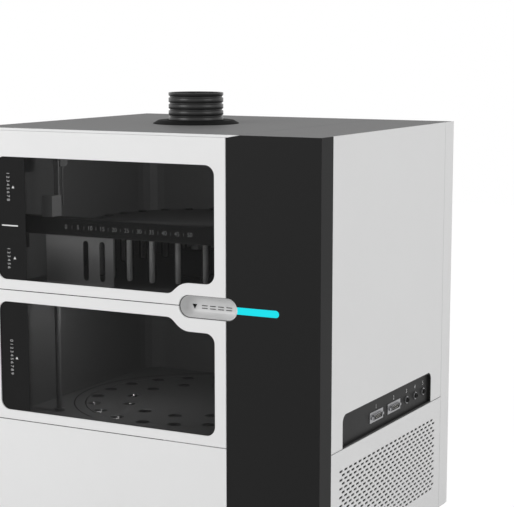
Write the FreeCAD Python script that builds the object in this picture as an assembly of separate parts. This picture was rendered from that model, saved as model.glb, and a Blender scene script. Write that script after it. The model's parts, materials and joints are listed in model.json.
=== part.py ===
# Chemical oxygen demand analyzer: a bench cabinet with two glazed chambers, a black
# column with a light bar, an exhaust collar on top and a port bay in its right side.
# Millimetres. +X is to the right seen from the front, +Y to the rear and +Z up. The
# origin is on the bench, under the middle of the cabinet.
import FreeCAD, Part
import math
import os

V = FreeCAD.Vector
Rotation = FreeCAD.Rotation

# Cabinet
body_width = 700.0
body_depth = 590.0
body_height = 790.0
foot_height = 25.0
foot_radius = 22.0
foot_inset = 50.0
foot_sides = 16
sheet = 2.0
front_skin = 2.5
front_depth = 28.0
seal_gap = 3.0
column_width = 177.4
column_wrap = 44.6
rear_wrap = 43.0
tray_rim = 18.0
post_side = 20.0
corner_steps = 4
top_seam_offset = 17.8
panel_gap = 0.8

# Seams of the front
upper_door_height = 294.8
lower_door_height = 242.7
seam_gap = 1.5
column_gap = 1.0
trim_height = 4.3
trim_taper = 24.0
trim_gap = 0.3
front_edge_radius = 1.5

# Windows
window_margin_left = 44.9
window_margin_right = 22.5
window_radius = 18.0
upper_window_margin = (19.2, 51.6)
upper_step_rise = 20.8
lower_window_margin = (17.9, 21.9)
lower_step_drop = 22.5
step_margin = 110.6
step_run = 24.0
step_radii = (20.0, 38.0)
pane_thickness = 3.0
pane_lap = 6.8
bezel_lap = 7.0
bezel_wall = 2.0
door_rim = 2.5
door_back_sheet = 2.0

# Hinges and catches
stile_width = 14.0
stile_radius = 4.0
hinge_inset = 7.0
hinge_rod_radius = 3.0
running_gap = 0.06
seat_gap = 0.05
hinge_plate_width = 22.0
hinge_plate_thickness = 4.0
washer_radius = 6.0
rest_gap = 0.3
catch_size = (14.0, 12.0, 30.0)
strike_width = 5.0
gasket_lap = 1.0
gasket_width = 4.0

# Pull recess and light bar
pull_reach = (93.3, 21.5)
pull_drop = 0.6
pull_radius = 20.0
pull_depth = 16.0
pull_hook = 3.5
pull_wall = 2.0
pull_clearance = 1.0
pull_boss_radius = 3.5
light_reach = 100.8
light_radius = 6.25
light_guide_depth = 6.0
fit_gap = 0.2

# Chambers
chamber_margin = (42.0, 9.6)
chamber_rear_margin = 65.0
chamber_corner = 40.0
liner = 1.5
deck_rise = 4.8
deck_thickness = 3.0
well_rise = 1.0
partition_margin = 3.6
opening_margin = (28.0, 12.6)
upper_opening_margin = (11.8, 28.0)
lower_opening_margin = (5.5, 9.2)
opening_radius = 12.0
guide_post_place = (68.0, 92.0)
guide_post_radius = 5.5

# Sample tray
stack_offset = 16.5
stack_y = 0.0
well_wall_gap = (2.0, 13.0)
tray_thickness = 5.0
tray_hub_radius = 22.0
outer_ring_inset = 16.0
outer_ring_count = 20
inner_ring_inset = 83.0
inner_ring_count = 12
inner_ring_phase = 12.0
sample_hole_radius = 13.0
hole_sides = 12
small_sides = 8
vial_gap = 0.8
vial_sides = 8
tray_drop = 56.0
carrier_thickness = 3.0
well_gap = 2.0
tray_hole_sides = 8
rim_sides = 36
well_depth = 78.0
shaft_radius = 4.0
bearing_radius = 11.0
bearing_height = 6.0
motor_side = 56.0
motor_height = 50.0
spacer_radius = 4.0
spacer_inset = 52.0
spacer_count = 6

# Reaction carousel
carousel_inset = 12.0
carousel_rise = 105.0
carousel_thickness = 5.0
tube_ring_inset = 27.0
tube_count = 24
tube_phase = 5.0
tube_radius = 8.0
tube_foot_gap = 8.0
tube_stand = 3.0
tube_sides = 8
tube_tip = 5.0

# Gantry and probe
beam_depth = (55.0, 80.0)
beam_rise = (94.0, 126.0)
beam_foot_width = 16.0
beam_foot_drop = 30.0
guard_reach = (50.0, 198.0)
guard_depth = 86.0
guard_height = 90.0
guard_foot_depth = 12.0
guard_slot_margin = 8.0
guard_slot_reach = (138.0, 174.0)
guard_slot_radius = 6.0
carriage_reach = 76.0
carriage_width = 22.0
carriage_height = 38.0
probe_rail_height = 114.0
probe_head_height = 24.0
needle_length = 74.0
grip_thickness = 4.0
rail_thickness = 3.0
needle_radius = 1.5
needle_depth = 105.0

# Exhaust
collar_radius = 51.8
collar_bore = 48.5
collar_height = 58.2
flange_radius = 81.1
flange_top_radius = 71.1
flange_height = 6.4
rib_pitch = 12.0
rib_count = 4
groove_depth = 2.4
groove_width = 4.0
collar_lip = 6.0
collar_sides = 28
fan_side = 120.0
fan_depth = 25.0
fan_bore = 57.0
fan_hub_radius = 20.0
fan_sides = 24
fan_pin_radius = 2.5
blade_count = 7
blade_thickness = 1.6
blade_tilt = 35.0

# Port bay and grille of the right side
bay_y = (-205.0, 199.0)
bay_height = 59.8
bay_radius = 14.0
bay_depth = 6.0
port_rise = 26.0
data_port_y = (-50.0, 30.0)
data_flange = (58.0, 19.0)
data_shell = (38.0, 10.0)
jack_reach = 23.5
jack_radius = 3.0
round_port_y = (91.0, 132.0, 172.0)
round_port_radius = 5.0
round_nut_radius = 7.5
grille_y = (-219.0, 225.5)
grille_margin_z = (45.4, 34.5)
grille_rows = 10
grille_columns = 12
grille_slot = (24.0, 5.6)

# Rear recesses
inlet_margin = (140.0, 30.0)
inlet_z = (60.0, 120.0)
fluid_margin = (60.0, 180.0)
fluid_z = (60.0, 110.0)
recess_depth = 14.0
recess_corner = 4.0
barb_count = 4
barb_radius = 4.0
nut_radius = 8.0
rocker_half = 9.0
rocker_tilt = 8.0
rocker_pin_radius = 1.0
vent_rows = 6
vent_low = 150.0
vent_pitch = 12.0
vent_height = 4.0

# Supply pieces inside
supply_size = (199.0, 99.0, 45.0)
supply_inset = 60.0
board_size = (1.6, 220.0, 200.0)
board_stand = 6.0
board_middle = (50.0, 520.0)
pump_y = (-150.0, -60.0, 30.0)
pump_z = 350.0
pump_motor = (58.0, 17.0)
pump_head = (26.0, 50.0)
pump_foot = 6.0

# Places worked out from the sizes above
left = -body_width / 2
right = body_width / 2
front = -body_depth / 2
rear = body_depth / 2
top = body_height
floor_z = foot_height + sheet
door_back = front + front_depth
bulkhead_front = door_back + seal_gap
bulkhead_back = bulkhead_front + sheet
column_left = right - column_width
top_seam_x = column_left + top_seam_offset
door_split_z = top - upper_door_height
service_top_z = door_split_z - lower_door_height
door_right = column_left - column_gap / 2
cover_left = column_left + column_gap / 2
skin_back = front + front_skin
upper_door_z = (door_split_z + seam_gap / 2, top - trim_height - trim_gap)
lower_door_z = (service_top_z + seam_gap / 2, door_split_z - seam_gap / 2)
service_z = (floor_z, service_top_z - seam_gap / 2)
hinge_x = left + hinge_inset
hinge_y = front + hinge_inset
window_left = left + window_margin_left
window_right = column_left - window_margin_right
upper_window_z = (door_split_z + upper_window_margin[0], top - upper_window_margin[1])
lower_window_z = (service_top_z + lower_window_margin[0], door_split_z - lower_window_margin[1])
step_start = column_left - step_margin
pull_z = door_split_z - pull_drop
pull_start = column_left - pull_reach[0] + pull_radius
pull_end = column_left + pull_reach[1] - pull_radius
light_right = column_left + light_reach
relief_radius = pull_radius + pull_hook + pull_wall + pull_clearance
inner_rear = rear - sheet
frame_top = top - sheet
chamber_left = left + chamber_margin[0]
chamber_right = column_left - chamber_margin[1]
chamber_rear = rear - chamber_rear_margin
partition_x = column_left - partition_margin
opening_left = left + opening_margin[0]
opening_right = column_left - opening_margin[1]
upper_opening_z = (door_split_z + upper_opening_margin[0], top - upper_opening_margin[1])
lower_opening_z = (service_top_z + lower_opening_margin[0], door_split_z - lower_opening_margin[1])
deck_top = door_split_z + deck_rise
deck_under = deck_top - deck_thickness
well_top = service_top_z + well_rise
well_bottom = well_top - well_depth
guide_post = (chamber_left + guide_post_place[0], front + guide_post_place[1])
stack_x = (chamber_left + chamber_right) / 2 + stack_offset
tray_radius = min(chamber_right - stack_x - well_wall_gap[0], chamber_rear - stack_y - well_wall_gap[1])
well_radius = tray_radius + well_gap
outer_ring_radius = tray_radius - outer_ring_inset
inner_ring_radius = tray_radius - inner_ring_inset
spacer_ring = tray_radius - spacer_inset
carousel_radius = tray_radius - carousel_inset
tube_ring_radius = tray_radius - tube_ring_inset
carousel_top = deck_top + carousel_rise
tube_length = carousel_rise - tube_foot_gap
beam_y = (front + beam_depth[0], front + beam_depth[1])
beam_z = (deck_top + beam_rise[0], deck_top + beam_rise[1])
guard_x = (chamber_left + guard_reach[0], chamber_left + guard_reach[1])
guard_y = front + guard_depth
guard_slots = (chamber_left + guard_slot_reach[0], chamber_left + guard_slot_reach[1])
carriage_x = chamber_left + carriage_reach
needle_y = front + needle_depth
bay_top = service_top_z + bay_height
port_z = service_top_z + port_rise
grille_z = (floor_z + grille_margin_z[0], service_top_z - grille_margin_z[1])
inlet_x = (right - inlet_margin[0], right - inlet_margin[1])
fluid_x = (left + fluid_margin[0], left + fluid_margin[1])


def block(x0, x1, y0, y1, z0, z1):
    return Part.makeBox(x1 - x0, y1 - y0, z1 - z0, V(x0, y0, z0))


def rod_z(x, y, z0, z1, radius):
    return Part.makeCylinder(radius, z1 - z0, V(x, y, z0), V(0, 0, 1))


def rod_y(x, z, y0, y1, radius):
    return Part.makeCylinder(radius, y1 - y0, V(x, y0, z), V(0, 1, 0))


def joined(shapes):
    """One solid from several that touch or overlap."""
    result = shapes[0].fuse(shapes[1:])
    return result.removeSplitter()


def group(shapes):
    """Separate solids kept in one node."""
    return Part.makeCompound(shapes)


def space_point(plane, u, v, w):
    if plane == "xz":
        return V(u, w, v)
    if plane == "yz":
        return V(w, u, v)
    return V(u, v, w)


def rounded_wire(corners, plane, w, steps=0):
    """Closed outline through corners (u, v, radius), with a tangent arc at each radius.

    With steps, the arc is that many chords, which keeps hidden and small pieces light.
    """
    parts = []
    count = len(corners)
    for i in range(count):
        here = V(corners[i][0], corners[i][1], 0)
        before = V(corners[i - 1][0], corners[i - 1][1], 0)
        after = V(corners[(i + 1) % count][0], corners[(i + 1) % count][1], 0)
        radius = corners[i][2]
        if radius <= 0:
            parts.append((here,))
            continue
        back = (before - here).normalize()
        ahead = (after - here).normalize()
        half = back.getAngle(ahead) / 2
        reach = radius / math.tan(half)
        middle = (back + ahead).normalize()
        centre = here + middle * (radius / math.sin(half))
        start = here + back * reach
        end = here + ahead * reach
        if steps:
            bend = (start - centre).getAngle(end - centre) / steps
            side = turn_side(back, ahead)
            turns = [Rotation(V(0, 0, 1), math.degrees(bend * k) * side) for k in range(steps)]
            parts.append(tuple(centre + turn.multVec(start - centre) for turn in turns) + (end,))
        else:
            parts.append((start, centre - middle * radius, end))
    edges = []
    for i in range(count):
        points = [space_point(plane, p.x, p.y, w) for p in parts[i]]
        following = parts[(i + 1) % count][0]
        following = space_point(plane, following.x, following.y, w)
        if len(points) == 3 and not steps:
            edges.append(Part.Arc(points[0], points[1], points[2]).toShape())
        else:
            for here, ahead in zip(points, points[1:]):
                edges.append(Part.LineSegment(here, ahead).toShape())
        if points[-1].distanceToPoint(following) > 0.001:
            edges.append(Part.LineSegment(points[-1], following).toShape())
    return Part.Wire(edges)


def turn_side(back, ahead):
    """1 where the outline turns left at a corner, otherwise -1."""
    return 1 if back.x * ahead.y - back.y * ahead.x < 0 else -1


def prism(corners, plane, w0, w1, steps=0):
    """Solid between two parallel planes, from an outline with rounded corners."""
    face = Part.Face(rounded_wire(corners, plane, w0, steps))
    return face.extrude(space_point(plane, 0, 0, w1 - w0))


def rectangle(u0, u1, v0, v1, radius=0.0):
    return [(u0, v0, radius), (u1, v0, radius), (u1, v1, radius), (u0, v1, radius)]


def widened(corners, distance):
    """The outline moved outwards by a distance. Corners run anticlockwise."""
    count = len(corners)
    result = []
    for i in range(count):
        here = V(corners[i][0], corners[i][1], 0)
        before = V(corners[i - 1][0], corners[i - 1][1], 0)
        after = V(corners[(i + 1) % count][0], corners[(i + 1) % count][1], 0)
        into = (here - before).normalize()
        out = (after - here).normalize()
        turn = into.x * out.y - into.y * out.x
        normal_in = V(into.y, -into.x, 0)
        normal_out = V(out.y, -out.x, 0)
        scale = distance / (1 + normal_in.dot(normal_out))
        moved = here + (normal_in + normal_out) * scale
        radius = corners[i][2] + (distance if turn > 0 else -distance)
        result.append((moved.x, moved.y, max(radius, 0.0)))
    return result


def capsule(x0, x1, z, radius, y0, y1, steps=0):
    """Solid with round ends; x0 and x1 are the centres of the ends."""
    outline = rectangle(x0 - radius, x1 + radius, z - radius, z + radius, radius)
    return prism(outline, "xz", y0, y1, steps)


def polygon_wire(u, v, w, radius, sides, plane="xy"):
    corners = []
    for i in range(sides):
        angle = 2 * math.pi * (i + 0.5) / sides
        corners.append((u + radius * math.cos(angle), v + radius * math.sin(angle), 0))
    return rounded_wire(corners, plane, w)


def polygon_rod(u, v, w0, w1, radius, sides, plane="xy"):
    """Rod with flat sides, for nuts and for the pieces that repeat most."""
    face = Part.Face(polygon_wire(u, v, w0, radius, sides, plane))
    return face.extrude(space_point(plane, 0, 0, w1 - w0))


def faceted(profile, x, y, sides):
    """Turned solid with flat sides, from (radius, height) points that start and end on the axis."""
    rings = []
    for radius, z in profile[1:-1]:
        angles = [2 * math.pi * (i + 0.5) / sides for i in range(sides)]
        rings.append([V(x + radius * math.cos(a), y + radius * math.sin(a), z) for a in angles])
    faces = [Part.Face(Part.makePolygon(ring + ring[:1])) for ring in (rings[0], rings[-1])]
    for low, high in zip(rings, rings[1:]):
        for i in range(sides):
            k = (i + 1) % sides
            faces.append(Part.Face(Part.makePolygon([low[i], low[k], high[k], high[i], low[i]])))
    return Part.makeSolid(Part.makeShell(faces))


def around(count, radius, phase):
    """Places on a ring about the stack's axis."""
    places = []
    for i in range(count):
        angle = math.radians(phase + 360.0 * i / count)
        places.append((stack_x + radius * math.cos(angle), stack_y + radius * math.sin(angle)))
    return places


# Cabinet shell

def base_tray():
    plate = block(left + sheet, right - sheet, skin_back, inner_rear, foot_height, floor_z)
    pieces = [plate]
    for x in (left + sheet, right - 2 * sheet):
        pieces.append(block(x, x + sheet, bulkhead_back, inner_rear, floor_z, floor_z + tray_rim))
    pieces.append(block(left + sheet, right - sheet, inner_rear - sheet, inner_rear,
                        floor_z, floor_z + tray_rim))
    return joined(pieces)


def feet():
    x = body_width / 2 - foot_inset
    y = body_depth / 2 - foot_inset
    profile = [(0, 0), (foot_radius, 0), (foot_radius - 4, foot_height), (0, foot_height)]
    return group([faceted(profile, sx * x, sy * y, foot_sides)
                  for sx in (-1, 1) for sy in (-1, 1)])


def frame():
    members = []
    for x in (left + 2 * sheet, right - 2 * sheet - post_side):
        for y in (bulkhead_back, inner_rear - sheet - post_side):
            members.append(block(x, x + post_side, y, y + post_side, floor_z, frame_top))
    y0 = bulkhead_back + post_side
    y1 = inner_rear - sheet - post_side
    for x, ledge in ((left + 2 * sheet, well_top), (right - 2 * sheet - post_side, well_top - sheet)):
        members.append(block(x, x + post_side, y0, y1, frame_top - post_side, frame_top))
        members.append(block(x, x + post_side, y0, y1, ledge - post_side, ledge))
    return group(members)


def left_side_panel():
    return block(left, left + sheet, bulkhead_front, rear - rear_wrap - panel_gap, floor_z, top)


def right_upper_panel():
    y0 = front + column_wrap + panel_gap / 2
    y1 = rear - rear_wrap - panel_gap
    panel = block(right - sheet, right, y0, y1, service_top_z + seam_gap / 2, top)
    return panel.cut(prism(bay_outline(0, seam_gap), "yz", right - sheet - 1, right + 1))


def right_lower_panel():
    y0 = front + column_wrap + panel_gap / 2
    y1 = rear - rear_wrap - panel_gap
    panel = block(right - sheet, right, y0, y1, floor_z, service_top_z - seam_gap / 2)
    slot_length, slot_height = grille_slot
    pitch_y = (grille_y[1] - grille_y[0]) / (grille_columns + 0.5)
    pitch_z = (grille_z[1] - grille_z[0]) / grille_rows
    slots = []
    for row in range(grille_rows):
        z = grille_z[0] + pitch_z * (row + 0.5)
        shift = pitch_y / 2 * (row % 2)
        for column in range(grille_columns):
            y = grille_y[0] + pitch_y * (column + 0.5) + shift
            slots.append(block(right - sheet - 1, right + 1, y - slot_length / 2, y + slot_length / 2,
                               z - slot_height / 2, z + slot_height / 2))
    return panel.cut(Part.makeCompound(slots))


def rear_cover():
    y0 = rear - rear_wrap
    cover = [block(left, right, inner_rear, rear, floor_z, top)]
    cover.append(block(left, left + sheet, y0, inner_rear, floor_z, top))
    cover.append(block(right - sheet, right, y0, inner_rear, floor_z, top))
    shell = joined(cover)
    cuts = []
    for x, z in ((inlet_x, inlet_z), (fluid_x, fluid_z)):
        cuts.append(prism(rectangle(x[0], x[1], z[0], z[1], recess_corner), "xz", inner_rear - 1, rear + 1,
                          corner_steps))
    for row in range(vent_rows):
        z = vent_low + vent_pitch * row
        cuts.append(block(inlet_x[0], inlet_x[1], inner_rear - 1, rear + 1, z, z + vent_height))
    return shell.cut(Part.makeCompound(cuts))


def top_cover_left():
    plate = block(left + sheet, top_seam_x - panel_gap / 2, skin_back, inner_rear, frame_top, top)
    return plate.cut(rod_z(stack_x, stack_y, frame_top - 1, top + 1, collar_bore))


def top_cover_right():
    return block(top_seam_x + panel_gap / 2, right - sheet, skin_back, inner_rear, frame_top, top)


def front_top_trim():
    corners = [(left, top - trim_height, 0), (column_left + 2, top - trim_height, 0),
               (column_left + 2 + trim_taper, top, 0), (left, top, 0)]
    return prism(corners, "xz", front, skin_back)


def service_panel():
    z0, z1 = service_z
    outer = block(left, door_right, front, bulkhead_front, z0, z1)
    hollow = block(left + door_rim, door_right - door_rim, skin_back, bulkhead_front,
                   z0 + door_rim, z1 - door_rim)
    panel = outer.cut(hollow)
    return panel.cut(hinge_bore(z1 - door_rim - 1, z1 + 1))


def bulkhead():
    plate = block(left + 2 * sheet, right - 2 * sheet, bulkhead_front, bulkhead_back, floor_z, frame_top)
    for z in (upper_opening_z, lower_opening_z):
        hole = rectangle(opening_left, opening_right, z[0], z[1], opening_radius)
        plate = plate.cut(prism(hole, "xz", bulkhead_front - 1, bulkhead_back + 1, corner_steps))
    return plate


def partition():
    return block(partition_x, partition_x + sheet, bulkhead_back, inner_rear - sheet, floor_z, frame_top)


# Column with the pull recess and the light bar

def column_cover():
    corners = [(cover_left, floor_z, 0), (right, floor_z, 0), (right, top, 0),
               (column_left + 2 + trim_taper + 0.6, top, 0), (column_left + 2.6, top - trim_height - 0.1, 0),
               (cover_left, top - trim_height - 0.1, 0)]
    face_plate = prism(corners, "xz", front, skin_back)
    wrap = block(right - sheet, right, front, front + column_wrap, floor_z, top)
    turn_back = block(cover_left, cover_left + sheet, front, bulkhead_front, floor_z,
                      top - trim_height - trim_gap)
    cover = joined([face_plate, wrap, turn_back])
    cover = cover.cut(capsule(pull_start, pull_end, pull_z, pull_radius, front - 1, skin_back + 1))
    cover = cover.cut(capsule(pull_start, pull_end, pull_z, relief_radius, skin_back, bulkhead_front + 1))
    slot_start = pull_end
    slot_end = light_right - light_radius
    return cover.cut(capsule(slot_start, slot_end, pull_z, light_radius, front - 1, skin_back + 1))


def light_bar():
    end = light_right - light_radius
    lens = capsule(pull_end, end, pull_z, light_radius - fit_gap, front + fit_gap, skin_back, corner_steps)
    lens = lens.cut(rod_y(pull_end, pull_z, front - 1, skin_back + 1, pull_radius + fit_gap))
    guide_start = pull_end + relief_radius + light_radius
    guide = capsule(guide_start, end, pull_z, light_radius - 1.5, skin_back - 0.5,
                    skin_back + light_guide_depth, corner_steps)
    return joined([lens, guide])


def pull_cup():
    outer_radius = relief_radius - pull_clearance
    cup_front = skin_back + 0.6
    cup_floor = front + pull_depth
    cup = capsule(pull_start, pull_end, pull_z, outer_radius, cup_front, cup_floor + pull_wall,
                  2 * corner_steps)
    cup = cup.cut(capsule(pull_start, pull_end, pull_z, outer_radius - pull_wall,
                          cup_front - 1, cup_floor, 2 * corner_steps))
    bosses = [polygon_rod(x, pull_z, cup_floor + pull_wall / 2, bulkhead_front, pull_boss_radius,
                          small_sides, "xz") for x in (pull_start + 12, pull_end - 12)]
    return joined([cup] + bosses)


# Doors

def upper_window():
    z0, z1 = upper_window_z
    return [(window_left, z0, window_radius), (step_start, z0, step_radii[0]),
            (step_start + step_run, z0 + upper_step_rise, step_radii[1]),
            (window_right, z0 + upper_step_rise, window_radius),
            (window_right, z1, window_radius), (window_left, z1, window_radius)]


def lower_window():
    z0, z1 = lower_window_z
    return [(window_left, z0, window_radius), (window_right, z0, window_radius),
            (window_right, z1 - lower_step_drop, window_radius),
            (step_start + step_run, z1 - lower_step_drop, step_radii[1]),
            (step_start, z1, step_radii[0]), (window_left, z1, window_radius)]


def pull_relief(y0, y1):
    return capsule(pull_start, pull_end, pull_z, relief_radius, y0, y1)


def door_frame(z, window):
    step_y = door_back - door_back_sheet
    profile = [(left, front, front_edge_radius), (door_right, front, front_edge_radius),
               (door_right, step_y, 0), (left + stile_width, step_y, 0),
               (left + stile_width, door_back, 0), (left, door_back, stile_radius)]
    frame = prism(profile, "xy", z[0], z[1])
    hollow = block(left + stile_width, door_right - door_rim, skin_back, door_back,
                   z[0] + door_rim, z[1] - door_rim)
    cuts = [hollow, prism(window, "xz", front - 1, skin_back + 1),
            capsule(pull_start, pull_end, pull_z, pull_radius, front - 1, skin_back + 1),
            pull_relief(skin_back, door_back + 1),
            hinge_bore(z[0] - 1, z[1] + 1)]
    for cut in cuts:
        frame = frame.cut(cut)
    return frame


def door_bezel(window):
    outer = prism(widened(window, bezel_lap + bezel_wall), "xz", skin_back, door_back, corner_steps)
    return outer.cut(prism(widened(window, bezel_lap), "xz", skin_back - 1, door_back + 1, corner_steps))


def door_pane(window):
    return prism(widened(window, pane_lap), "xz", skin_back, skin_back + pane_thickness, corner_steps)


def door_back_panel(z, window):
    y0 = door_back - door_back_sheet
    panel = block(left + stile_width, door_right, y0, door_back, z[0], z[1])
    lap = bezel_lap + bezel_wall + fit_gap
    panel = panel.cut(prism(widened(window, lap), "xz", y0 - 1, door_back + 1, corner_steps))
    return panel.cut(pull_relief(y0 - 1, door_back + 1))


def catch_place(window_z):
    return (window_z[0] + window_z[1]) / 2 + 12.0


def door_catch(window_z):
    width, depth, height = catch_size
    x1 = door_right - door_rim
    y1 = door_back - door_back_sheet
    z = catch_place(window_z)
    reach = min(width, x1 - (window_right + bezel_lap + bezel_wall) - fit_gap)
    return block(x1 - reach, x1, y1 - depth, y1, z - height / 2, z + height / 2)


def strike_plates():
    plates = []
    for window_z in (upper_window_z, lower_window_z):
        z = catch_place(window_z)
        plates.append(block(door_right - 1 - strike_width, door_right - 1, door_back + rest_gap,
                            bulkhead_front, z - catch_size[2] / 2, z + catch_size[2] / 2))
    return group(plates)


def door_gaskets():
    rings = []
    for z in (upper_opening_z, lower_opening_z):
        y0 = door_back + rest_gap
        rims = [(opening_left - lap, opening_right + lap, z[0] - lap, z[1] + lap)
                for lap in (gasket_lap, gasket_lap + gasket_width)]
        inner, outer = [prism(rectangle(*rim), "xz", y0, bulkhead_front) for rim in rims]
        rings.append(outer.cut(inner))
    return group(rings)


def hinge_bore(z0, z1):
    """Bore whose flat sides clear the hinge rod."""
    radius = (hinge_rod_radius + running_gap) / math.cos(math.pi / hole_sides)
    return polygon_rod(hinge_x, hinge_y, z0, z1, radius, hole_sides)


def hinge_set():
    """The rod that both doors turn on, its two plates and the washers under the doors."""
    x0 = left + door_rim
    x1 = x0 + hinge_plate_width
    low = service_z[1] - door_rim
    rod = rod_z(hinge_x, hinge_y, low - hinge_plate_thickness, frame_top, hinge_rod_radius)
    holders = [block(x0, x1, skin_back, bulkhead_front, low - hinge_plate_thickness, low),
               block(x0, x1, skin_back, bulkhead_front, top - trim_height, frame_top)]
    for z0, z1 in ((service_z[1], lower_door_z[0] - rest_gap),
                   (lower_door_z[1] + rest_gap, upper_door_z[0] - rest_gap)):
        holders.append(polygon_rod(hinge_x, hinge_y, z0, z1, washer_radius, small_sides))
    bore = hinge_bore(0, top)
    return group([rod] + [holder.cut(bore) for holder in holders])


# Chambers

def chamber_liner(z0, z1):
    outer = [(chamber_left - liner, bulkhead_back, 0), (chamber_right + liner, bulkhead_back, 0),
             (chamber_right + liner, chamber_rear + liner, chamber_corner + liner),
             (chamber_left - liner, chamber_rear + liner, chamber_corner + liner)]
    inner = [(chamber_left, bulkhead_back - 1, 0), (chamber_right, bulkhead_back - 1, 0),
             (chamber_right, chamber_rear, chamber_corner), (chamber_left, chamber_rear, chamber_corner)]
    shell = prism(outer, "xy", z0, z1, corner_steps)
    return shell.cut(prism(inner, "xy", z0 - 1, z1 + 1, corner_steps))


def deck():
    x0 = left + 2 * sheet + post_side
    return block(x0, partition_x, bulkhead_back, chamber_rear + liner, deck_under, deck_top)


def sample_well():
    x0 = left + 2 * sheet + post_side
    floor_plate = block(x0, partition_x, bulkhead_back, chamber_rear + liner, well_top - sheet, well_top)
    tub = polygon_rod(stack_x, stack_y, well_bottom, well_top, well_radius + sheet, rim_sides)
    well = joined([floor_plate, tub])
    hollow = polygon_rod(stack_x, stack_y, well_bottom + sheet, well_top + 1, well_radius, rim_sides)
    seat = polygon_rod(stack_x, stack_y, well_bottom - 1, well_top, bearing_radius + seat_gap, hole_sides)
    return well.cut(hollow).cut(seat)


def post_of_lower_chamber():
    x, y = guide_post
    return joined([rod_z(x, y, well_top, deck_under, guide_post_radius),
                   polygon_rod(x, y, well_top, well_top + 6, guide_post_radius + 4, small_sides)])


def shaft_bore(z0, z1):
    """Bore whose flat sides clear the round shaft."""
    radius = (shaft_radius + running_gap) / math.cos(math.pi / hole_sides)
    return polygon_rod(stack_x, stack_y, z0, z1, radius, hole_sides)


def motor(z0):
    """Square stepping motor with a bore for the shaft in its top."""
    half = motor_side / 2
    body = block(stack_x - half, stack_x + half, stack_y - half, stack_y + half, z0, z0 + motor_height)
    top_z = z0 + motor_height
    return body.cut(shaft_bore(top_z - motor_height / 2, top_z + 1))


def bearing(z0):
    ring = polygon_rod(stack_x, stack_y, z0, z0 + bearing_height, bearing_radius, hole_sides)
    return ring.cut(shaft_bore(z0 - 1, z0 + bearing_height + 1))


# Sample tray

def sample_places():
    return (around(outer_ring_count, outer_ring_radius, 0.0)
            + around(inner_ring_count, inner_ring_radius, inner_ring_phase))


def tray_plate():
    under = well_top - tray_thickness
    plate = polygon_rod(stack_x, stack_y, under, well_top, tray_radius, rim_sides)
    holes = [polygon_rod(x, y, under - 1, well_top + 1, sample_hole_radius, tray_hole_sides)
             for x, y in sample_places()]
    return plate.cut(Part.makeCompound(holes))


def sample_vials():
    """Capped vials that stand on the carrier, their caps flush with the tray."""
    low = well_top - tray_drop + carrier_thickness
    return group([polygon_rod(x, y, low, well_top - rest_gap, sample_hole_radius - vial_gap, vial_sides)
                  for x, y in sample_places()])


def tray_carrier():
    low = well_top - tray_drop
    under = well_top - tray_thickness
    disc_radius = tray_radius - well_gap
    pieces = [polygon_rod(stack_x, stack_y, low, low + carrier_thickness, disc_radius, rim_sides),
              polygon_rod(stack_x, stack_y, low, under, tray_hub_radius, hole_sides)]
    for x, y in around(spacer_count, spacer_ring, 0):
        pieces.append(polygon_rod(x, y, low, under, spacer_radius, small_sides))
    pieces.append(rod_z(stack_x, stack_y, well_bottom - motor_height / 2 + 1, low + 1, shaft_radius))
    return joined(pieces)


# Reaction carousel

def carousel_plate():
    low = carousel_top - carousel_thickness
    plate = polygon_rod(stack_x, stack_y, low, carousel_top, carousel_radius, rim_sides)
    holes = [polygon_rod(x, y, low - 1, carousel_top + 1, tube_radius + fit_gap, tube_sides)
             for x, y in around(tube_count, tube_ring_radius, tube_phase)]
    return plate.cut(Part.makeCompound(holes))


def carousel_shaft():
    low = deck_top + motor_height / 2 + 1
    under = carousel_top - carousel_thickness
    return joined([rod_z(stack_x, stack_y, low, under, shaft_radius),
                   polygon_rod(stack_x, stack_y, under - 12, under, tray_hub_radius, hole_sides)])


def reaction_tubes():
    """Tubes with a tapered tip, hanging in the carousel's holes."""
    tip = carousel_top - tube_length
    neck = carousel_top + tube_stand
    profile = [(0, tip), (tube_radius / 2, tip), (tube_radius, tip + tube_tip), (tube_radius, neck),
               (0, neck)]
    return group([faceted(profile, x, y, tube_sides)
                  for x, y in around(tube_count, tube_ring_radius, tube_phase)])


# Gantry and probe

def gantry_beam():
    pieces = [block(chamber_left, chamber_right, beam_y[0], beam_y[1], beam_z[0], beam_z[1])]
    low = beam_z[0] - beam_foot_drop
    for x0, x1 in ((chamber_left, chamber_left + beam_foot_width),
                   (chamber_right - beam_foot_width, chamber_right)):
        corners = [(beam_y[0], beam_z[0], 0), (beam_y[0], beam_z[0] - 4, 0),
                   (beam_y[1] - 4, low, 0), (beam_y[1], low, 0), (beam_y[1], beam_z[0], 0)]
        pieces.append(prism(corners, "yz", x0, x1))
    return group(pieces)


def tube_guard():
    z1 = deck_top + guard_height
    plate = block(guard_x[0], guard_x[1], guard_y, guard_y + sheet, deck_top, z1)
    foot = block(guard_x[0], guard_x[1], guard_y - guard_foot_depth, guard_y, deck_top, deck_top + sheet)
    guard = joined([plate, foot])
    for x in guard_slots:
        outline = rectangle(x - guard_slot_radius, x + guard_slot_radius, deck_top + guard_slot_margin,
                            z1 - guard_slot_margin, guard_slot_radius)
        guard = guard.cut(prism(outline, "xz", guard_y - 1, guard_y + sheet + 1, corner_steps))
    return guard


def carriage():
    x0 = carriage_x - carriage_width / 2
    x1 = carriage_x + carriage_width / 2
    low = beam_z[1] + rest_gap
    saddle = block(x0, x1, beam_y[0], beam_y[1] + rest_gap + grip_thickness, low, low + carriage_height)
    grip_y = beam_y[1] + rest_gap
    grip = block(x0, x1, grip_y, grip_y + grip_thickness, beam_z[0] + 8, low)
    rail_y = grip_y + grip_thickness
    rail = block(carriage_x - 5, carriage_x + 5, rail_y, rail_y + rail_thickness, low,
                 low + probe_rail_height)
    return joined([saddle, grip, rail])


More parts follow.
